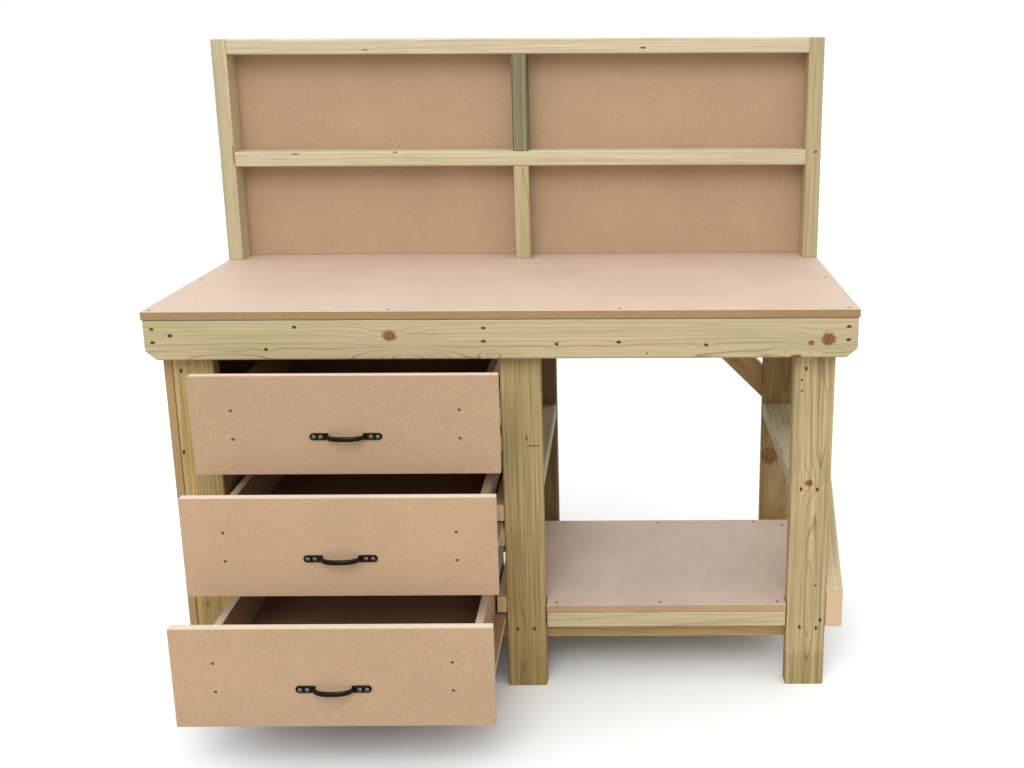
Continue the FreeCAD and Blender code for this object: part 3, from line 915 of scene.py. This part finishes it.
def make_panels():
    low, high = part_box("worktop")
    places = [(x, low.y + WORKTOP_MARGIN) for x in (-0.748, -0.240, 0.252, 0.740)]
    places += [(x, low.y + WORKTOP_SIDE_SCREW) for x in (-0.744, 0.742)]
    panel("worktop", "Z", WORKTOP_BOARD, "worktop_board", on_face(TO_TOP, high.z, places), gloss=0.45)

    low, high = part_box("left_side_panel")
    legs = ("left_front_leg", "left_back_leg")
    places = [(middle_of(leg).y, z) for leg in legs for z in rows_of((low, high))]
    panel("left_side_panel", "X", SIDE_BOARD, "box_board", on_face(TO_LEFT, low.x, places))

    low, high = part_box("drawer_bay_back_panel")
    legs = ("left_back_leg", "centre_back_leg")
    places = [(middle_of(leg).x, z) for leg in legs for z in rows_of((low, high))]
    panel("drawer_bay_back_panel", "Y", SHADE_PAINTED_BACK_BOARD, "back_board", on_face(TO_BACK, high.y, places))

    low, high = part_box("upstand_back_panel")
    rows = [middle_of(board).z for board in ("upstand_mid_shelf", "upstand_top_board")]
    places = [(x, z) for x in evenly(low.x + 0.15, high.x - 0.15, 6) for z in rows]
    sides = [middle_of(upright).x for upright in ("upstand_left_upright", "upstand_right_upright")]
    places += [(x, low.z + up) for x in sides for up in (0.05, 0.25, 0.45)]
    screws = on_face(TO_BACK, high.y, places)
    panel("upstand_back_panel", "Y", BACK_BOARD, "back_board", screws, mottle=0.9)


def make_upstand():
    mid_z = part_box("upstand_mid_shelf")[0].z
    top_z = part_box("upstand_top_board")[0].z
    plank("upstand_left_upright", ALONG_Z_FRONT, LEFT_PINE, (0.030, 0.030), (0.004, -0.006), 0.0070,
          contrast=0.5, marks=((mid_z + 0.030, -0.7275, 0.0012, 22.0, SCAR),),
          swells=((mid_z + 0.10, -0.728, 0.10, 0.010, 0.012),))
    plank("upstand_right_upright", ALONG_Z_FRONT, UPRIGHT_PINE, (-0.026, 0.028), (0.004, -0.006), 0.0060,
          marks=((mid_z + 0.033, 0.748, 0.0042, 0.7, RED_KNOT),))
    plank("upstand_mid_shelf", ALONG_X_UPRIGHT, SHELF_PINE, (0.05, 0.05), (0.008, -0.012), 0.0056,
          line=0.25, contrast=0.6,
          marks=((-0.571, mid_z + 0.032, 0.0016, 6.5, SCAR),
                 (-0.318, mid_z + 0.036, 0.0018, 2.6, RED_KNOT)))
    plank("upstand_top_board", ALONG_X_UPRIGHT, SHELF_PINE, (-0.05, 0.05), (0.008, -0.012), 0.0056,
          line=0.25, contrast=0.6,
          marks=((-0.379, top_z + 0.011, 0.0014, 6.0, SCAR),
                 (0.310, top_z + 0.014, 0.0022, 3.0, DARK_KNOT)))
    make_dividers()


def make_dividers():
    """The two dividers share a node, but the upper one is far greener, so each is a piece."""
    node = "upstand_dividers"
    low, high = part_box(node)
    split = middle_of("upstand_mid_shelf").z
    bend = ((-0.020, 0.012, 0.085, 0.014, -0.006),)
    tiers = (("lower", low.z, UPRIGHT_PINE, (-0.050, 0.014), -0.11, 0.0110, 0.16, 1.0, bend),
             ("upper", high.z, GREEN_STRIPED, (0.110, 0.012), 0.01, 0.0052, 0.44, 1.6, ()))
    for name, end, tones, heart, lean, ring_width, line, streaks, swells in tiers:
        mesh = flat_mesh_of(node, lambda place: (place.z - split) * (end - split) > 0)
        centre = Vector((0, (low.y + high.y) / 2, (split + end) / 2))
        material = timber_material(
            name + "_divider_wood", centre, ALONG_Z_FRONT, tones, heart, (lean, -0.01), ring_width,
            line=line, contrast=1.0, wander=0.003, stain=0.0, streaks=streaks, swells=swells)
        stand_for(node, name + "_divider_piece", mesh, material, TIMBER_EASE)


# Each drawer, and how bright its front is next to the others
DRAWER_FRONTS = {"top_drawer": 0.955, "middle_drawer": 1.02, "bottom_drawer": 1.0}
# The backs and bottoms take boards darkened as painted shade
DRAWER_BOX = (("_inner_front", "Y", BOX_BOARD), ("_back", "Y", SHADE_PAINTED_BOX_BOARD),
              ("_left_side", "X", BOX_BOARD), ("_right_side", "X", BOX_BOARD),
              ("_bottom", "Z", SHADE_PAINTED_BOTTOM_BOARD))
FRONT_SCREW_INSETS = (0.084, 0.082)
FRONT_SCREW_HEIGHTS = (0.0785, 0.1415)


def make_drawers():
    for name, brightness in DRAWER_FRONTS.items():
        front_board = [tuple(brightness * c for c in tone) for tone in FRONT_BOARD]
        low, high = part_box(name + "_front")
        columns = (low.x + FRONT_SCREW_INSETS[0], high.x - FRONT_SCREW_INSETS[1])
        places = [(x, low.z + up) for x in columns for up in FRONT_SCREW_HEIGHTS]
        screws = on_face(TO_FRONT, low.y, places)
        panel(name + "_front", "Y", front_board, "drawer_front_board", screws, covered_holes=True)
        for part, thin, tones in DRAWER_BOX:
            panel(name + part, thin, tones, "box_board")


# The cast handles

PLATE_LENGTH = 40.0 * MM
PLATE_THICK = 3.2 * MM
PLATE_CORNER = 3.0 * MM
PLATE_EDGE = 1.3 * MM
PLATE_LEAST_CORNER = 0.2 * MM
CORNER_STEPS, END_STEPS, EDGE_STEPS = 6, 24, 4
GRIP_ROOT_INSET = 3.5 * MM
GRIP_FULLNESS = 2.3
GRIP_MIDDLE = (5.5 * MM, 4.0 * MM)
GRIP_NECK = (4.6 * MM, 3.1 * MM)
GRIP_SECTIONS, GRIP_SIDES = 41, 28

# How high above its roots the grip still flares, and by how much it widens and thickens there
FLARE_HEIGHT, FLARE_WIDE, FLARE_THICK = 5 * MM, 1.6 * MM, 0.6 * MM
SCREW_FROM_END = 9.0 * MM
SCREW_SPACING = 14.5 * MM


def arc(middle, radius, start, sweep, steps):
    """Places along an arc, from its first end to its last."""
    turns = [start + sweep * step / steps for step in range(steps + 1)]
    return [(middle[0] + radius * math.cos(turn), middle[1] + radius * math.sin(turn)) for turn in turns]


def plate_outline(half_width, inset):
    """Corners of a plate that lies along +X from its inner end at 0: two rounded corners, one round end."""
    quarter = math.pi / 2
    half = half_width - inset
    corner = max(PLATE_CORNER - inset, PLATE_LEAST_CORNER)
    places = arc((inset + corner, corner - half), corner, math.pi, quarter, CORNER_STEPS)
    places += arc((PLATE_LENGTH - half_width, 0.0), half, -quarter, math.pi, END_STEPS)
    places += arc((inset + corner, half - corner), corner, quarter, quarter, CORNER_STEPS)
    return places


def add_plate(bm, centre, side, half_length, half_width):
    """One end plate with a softened front edge. centre lies on the drawer's face."""
    inner = half_length - PLATE_LENGTH
    levels = [(0.0, 0.0)]
    for step in range(EDGE_STEPS + 1):
        turn = math.pi / 2 * step / EDGE_STEPS
        drop = PLATE_EDGE * (1 - math.sin(turn))
        levels.append((PLATE_EDGE * (1 - math.cos(turn)), PLATE_THICK - drop))
    rings = []
    for inset, rise in levels:
        outline = plate_outline(half_width, inset)
        rings.append(add_ring(bm, [centre + Vector((side * (inner + x), -rise, z)) for x, z in outline]))
    join_rings(bm, rings)
    bm.faces.new(rings[0])
    bm.faces.new(rings[-1])


def add_grip(bm, centre, half_length, reach):
    """The bow between the plates: steep at its roots, nearly straight across and thicker in the middle."""
    half_span = half_length - PLATE_LENGTH + GRIP_ROOT_INSET
    rise_most = reach - GRIP_MIDDLE[1]
    power = 2 / GRIP_FULLNESS
    turns = [2 * math.pi * step / GRIP_SIDES for step in range(GRIP_SIDES)]
    rings = []
    for index in range(GRIP_SECTIONS):
        lean = math.pi / 2 * (2 * index / (GRIP_SECTIONS - 1) - 1)
        side = math.copysign(abs(math.sin(lean)) ** power, lean)
        rise = abs(math.cos(lean)) ** power
        middle = centre + Vector((side * half_span, -rise * rise_most, 0))
        steep = abs(side) ** (GRIP_FULLNESS - 1) / half_span
        level = rise ** (GRIP_FULLNESS - 1) / rise_most
        out = Vector((math.copysign(steep, lean), -level, 0)).normalized()
        swell = math.cos(lean)
        flare = max(0.0, 1 - rise * rise_most / FLARE_HEIGHT) ** 2
        wide = GRIP_NECK[0] + (GRIP_MIDDLE[0] - GRIP_NECK[0]) * swell + FLARE_WIDE * flare
        thick = GRIP_NECK[1] + (GRIP_MIDDLE[1] - GRIP_NECK[1]) * swell + FLARE_THICK * flare
        places = [middle + AXIS["Z"] * (wide * math.cos(turn)) + out * (thick * math.sin(turn))
                  for turn in turns]
        rings.append(add_ring(bm, places))
    join_rings(bm, rings)
    bm.faces.new(rings[0])
    bm.faces.new(rings[-1])


def make_handle(drawer):
    """A drawer's handle and its four screws."""
    node = drawer + "_handle"
    low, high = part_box(node)
    centre = Vector(((low.x + high.x) / 2, high.y, (low.z + high.z) / 2))
    half_length = (high.x - low.x) / 2
    half_width = (high.z - low.z) / 2
    bm = bmesh.new()
    for side in (-1, 1):
        add_plate(bm, centre, side, half_length, half_width)
    add_grip(bm, centre, half_length, high.y - low.y)
    handle = finish_piece(bm, drawer + "_bow_handle", CAST_IRON, node)
    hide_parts(node)

    dice = random.Random(node)
    bm = bmesh.new()
    first = half_length - SCREW_FROM_END
    for x in (-first, SCREW_SPACING - first, first - SCREW_SPACING, first):
        place = centre + Vector((x, -PLATE_THICK, 0))
        spin = Matrix.Rotation(dice.uniform(0, math.pi), 4, "Z")
        add_screw(bm, turned_to(TO_FRONT, place) @ spin, **HANDLE_SCREW)
    screws = finish_piece(bm, drawer + "_bow_handle_screws", BRIGHT_STEEL, node)
    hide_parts(node + "_screws")


# Stage, light and camera

SKY_ZENITH = 1.70
SKY_HORIZON = 0.55
LAMP_POWER = 100.0
LAMP_PLACE = Vector((-0.4, -3.6, 4.2))
LAMP_SIZE = (2.6, 2.6)
LAMP_TARGET = Vector((0, 0, 0.8))
LAMP_TINT = (1.0, 0.985, 0.965)
SKY_TINT = (0.965, 0.985, 1.0)
FLOOR_HALF = 30.0
LIT_FLOOR = (0.47, 0.44, 0.40)
SEEN_FLOOR = (0.93, 0.925, 0.92)


def make_stage():
    bm = bmesh.new()
    bmesh.ops.create_grid(bm, x_segments=1, y_segments=1, size=FLOOR_HALF)
    mesh = bare_mesh(bm, "floor")
    floor = link_piece("floor", mesh)
    made, g = new_material("pale_floor")
    seen = g.node("ShaderNodeLightPath").outputs["Is Camera Ray"]
    colour = g.mix(seen, LIT_FLOOR, SEEN_FLOOR)
    finish_material(g, colour, 0.9, None, Specular_IOR_Level=0.1)
    mesh.materials.append(made)


def make_light():
    """A soft sky, brighter overhead, and a wide lamp in front that draws soft shadows under the boards."""
    world = bpy.data.worlds.new("soft_light")
    bpy.context.scene.world = world
    world.use_nodes = True
    world.node_tree.nodes.clear()
    g = Graph(world.node_tree)
    seen = g.node("ShaderNodeLightPath").outputs["Is Camera Ray"]
    height = g.split(g.node("ShaderNodeTexCoord").outputs["Generated"])[2]
    strength = g.ramp(height, 0.0, 1.0, SKY_HORIZON, SKY_ZENITH, smooth=False)
    sky = g.node("ShaderNodeBackground", {"Color": SKY_TINT, "Strength": strength})
    backdrop = g.node("ShaderNodeBackground", {"Color": (1.0, 1.0, 1.0), "Strength": 1.0})
    both = g.node("ShaderNodeMixShader", {0: seen, 1: sky.outputs[0], 2: backdrop.outputs[0]})
    g.node("ShaderNodeOutputWorld", {0: both.outputs[0]})

    lamp = bpy.data.lights.new("front_lamp", "AREA")
    lamp.shape = "RECTANGLE"
    lamp.size, lamp.size_y = LAMP_SIZE
    lamp.energy = LAMP_POWER
    lamp.color = LAMP_TINT
    made = link_piece("front_lamp", lamp)
    made.location = LAMP_PLACE
    made.rotation_euler = (LAMP_TARGET - LAMP_PLACE).to_track_quat("-Z", "Y").to_euler()


# The photograph's camera, in its 1024 by 768 frame
FRAME_WIDTH_PX = 1024
FRAME_HEIGHT_PX = 768
FOCAL_PX = 1075.1
CENTRE_PX = (628.1, 273.8)
CAMERA_PLACE = Vector((0.2609, -2.3478, 1.4917))
CAMERA_YAW, CAMERA_PITCH, CAMERA_ROLL = (math.radians(a) for a in (-0.223, -12.791, 0.183))


def make_camera():
    camera = bpy.data.cameras.new("photo_camera")
    camera.sensor_width = 36.0
    camera.lens = camera.sensor_width * FOCAL_PX / FRAME_WIDTH_PX
    camera.shift_x = (FRAME_WIDTH_PX / 2 - CENTRE_PX[0]) / FRAME_WIDTH_PX
    camera.shift_y = (CENTRE_PX[1] - FRAME_HEIGHT_PX / 2) / FRAME_WIDTH_PX
    camera.clip_end = 100.0
    made = link_piece("photo_camera", camera)
    turn = Matrix.Rotation(CAMERA_YAW, 4, "Z") @ Matrix.Rotation(CAMERA_PITCH, 4, "X")
    turn = turn @ Matrix.Rotation(CAMERA_ROLL, 4, "Y") @ Matrix.Rotation(math.pi / 2, 4, "X")
    made.matrix_world = Matrix.Translation(CAMERA_PLACE) @ turn
    bpy.context.scene.camera = made


make_top_frame()
make_legs()
make_braces()
make_low_shelf()
make_runners()
make_panels()
make_upstand()
make_drawers()
for drawer_name in DRAWER_FRONTS:
    make_handle(drawer_name)
make_stage()
make_light()
make_camera()
bpy.context.scene.view_settings.view_transform = "Standard"
